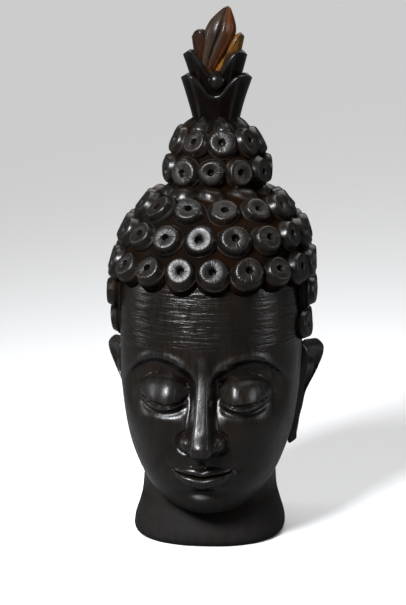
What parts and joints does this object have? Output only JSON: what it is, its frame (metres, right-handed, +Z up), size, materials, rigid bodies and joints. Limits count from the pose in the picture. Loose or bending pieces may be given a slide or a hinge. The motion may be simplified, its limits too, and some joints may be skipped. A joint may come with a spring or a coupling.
{
  "type": "carved wooden buddha head ornament",
  "caption": "Carved head of a buddha in dark waxed wood with drilled snail-shell curls, long ears, a topknot and a leafy flame finial, standing on its own flared neck.",
  "frame": {"origin": "middle of the neck's flat underside, on the surface that the head stands on", "axes": "+Z up to the tip of the finial, -Y the way the face looks, +X to the head's left"},
  "size_m": [0.169, 0.1978, 0.4],
  "materials": {
    "stained_wood": "near-black brown stain under a satin wax polish, reddish brown in the recesses and on the finial"
  },
  "bodies": {
    "root": {"carved_head": "stained_wood"}
  },
  "joints": []
}
